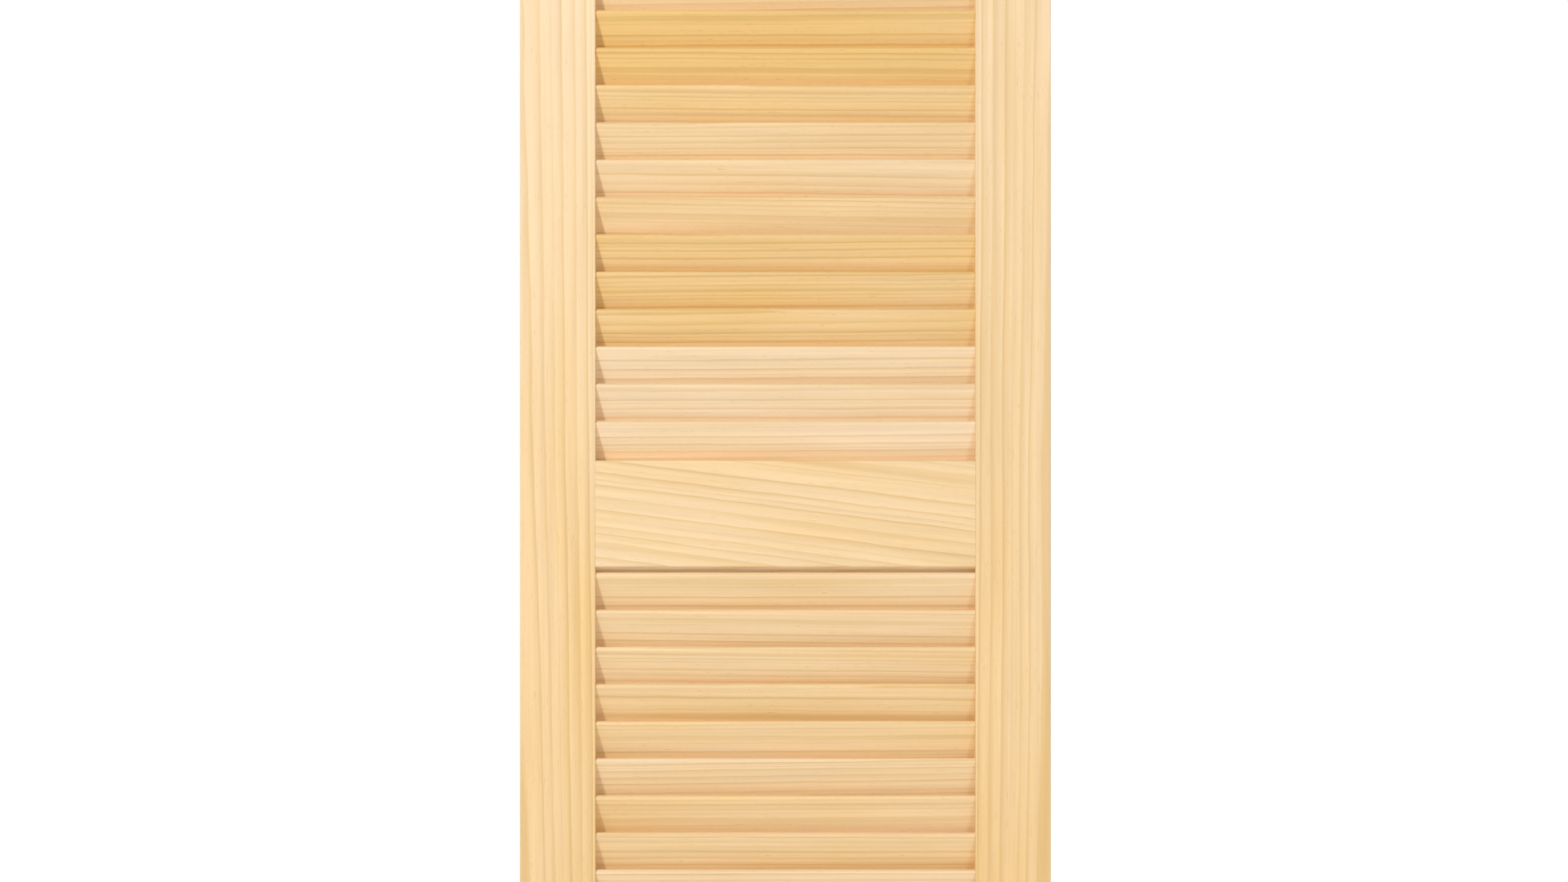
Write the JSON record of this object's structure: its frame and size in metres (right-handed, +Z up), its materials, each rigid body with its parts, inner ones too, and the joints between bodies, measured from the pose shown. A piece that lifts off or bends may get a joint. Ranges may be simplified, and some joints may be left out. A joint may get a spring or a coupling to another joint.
{
  "type": "louvred door leaf",
  "caption": "Flat interior door leaf in clear pine, with stiles and rails round fields of fixed sloping louvre slats that let air through and block the view.",
  "frame": {"origin": "foot of the hinge stile's outer edge, halfway through the leaf's thickness", "axes": "+X across the leaf to the lock stile, -Y out of the front face where the slats' upper edges show, +Z up"},
  "size_m": [0.762, 0.035, 2.032],
  "materials": {
    "stile_pine": "planed clear pine, grain upright, clear satin lacquer",
    "rail_pine": "planed clear pine, grain across the leaf, clear satin lacquer",
    "slat_pine": "moulded pine slats with round edges, clear satin lacquer"
  },
  "bodies": {
    "root": {"hinge_stile": "stile_pine", "lock_stile": "stile_pine", "top_rail": "rail_pine", "lock_rail": "rail_pine", "bottom_rail": "rail_pine", "upper_slat_01": "slat_pine", "upper_slat_02": "slat_pine", "upper_slat_03": "slat_pine", "upper_slat_04": "slat_pine", "upper_slat_05": "slat_pine", "upper_slat_06": "slat_pine", "upper_slat_07": "slat_pine", "upper_slat_08": "slat_pine", "upper_slat_09": "slat_pine", "upper_slat_10": "slat_pine", "upper_slat_11": "slat_pine", "upper_slat_12": "slat_pine", "upper_slat_13": "slat_pine", "upper_slat_14": "slat_pine", "upper_slat_15": "slat_pine", "upper_slat_16": "slat_pine", "upper_slat_17": "slat_pine", "lower_slat_01": "slat_pine", "lower_slat_02": "slat_pine", "lower_slat_03": "slat_pine", "lower_slat_04": "slat_pine", "lower_slat_05": "slat_pine", "lower_slat_06": "slat_pine", "lower_slat_07": "slat_pine", "lower_slat_08": "slat_pine", "lower_slat_09": "slat_pine", "lower_slat_10": "slat_pine", "lower_slat_11": "slat_pine"}
  },
  "joints": []
}
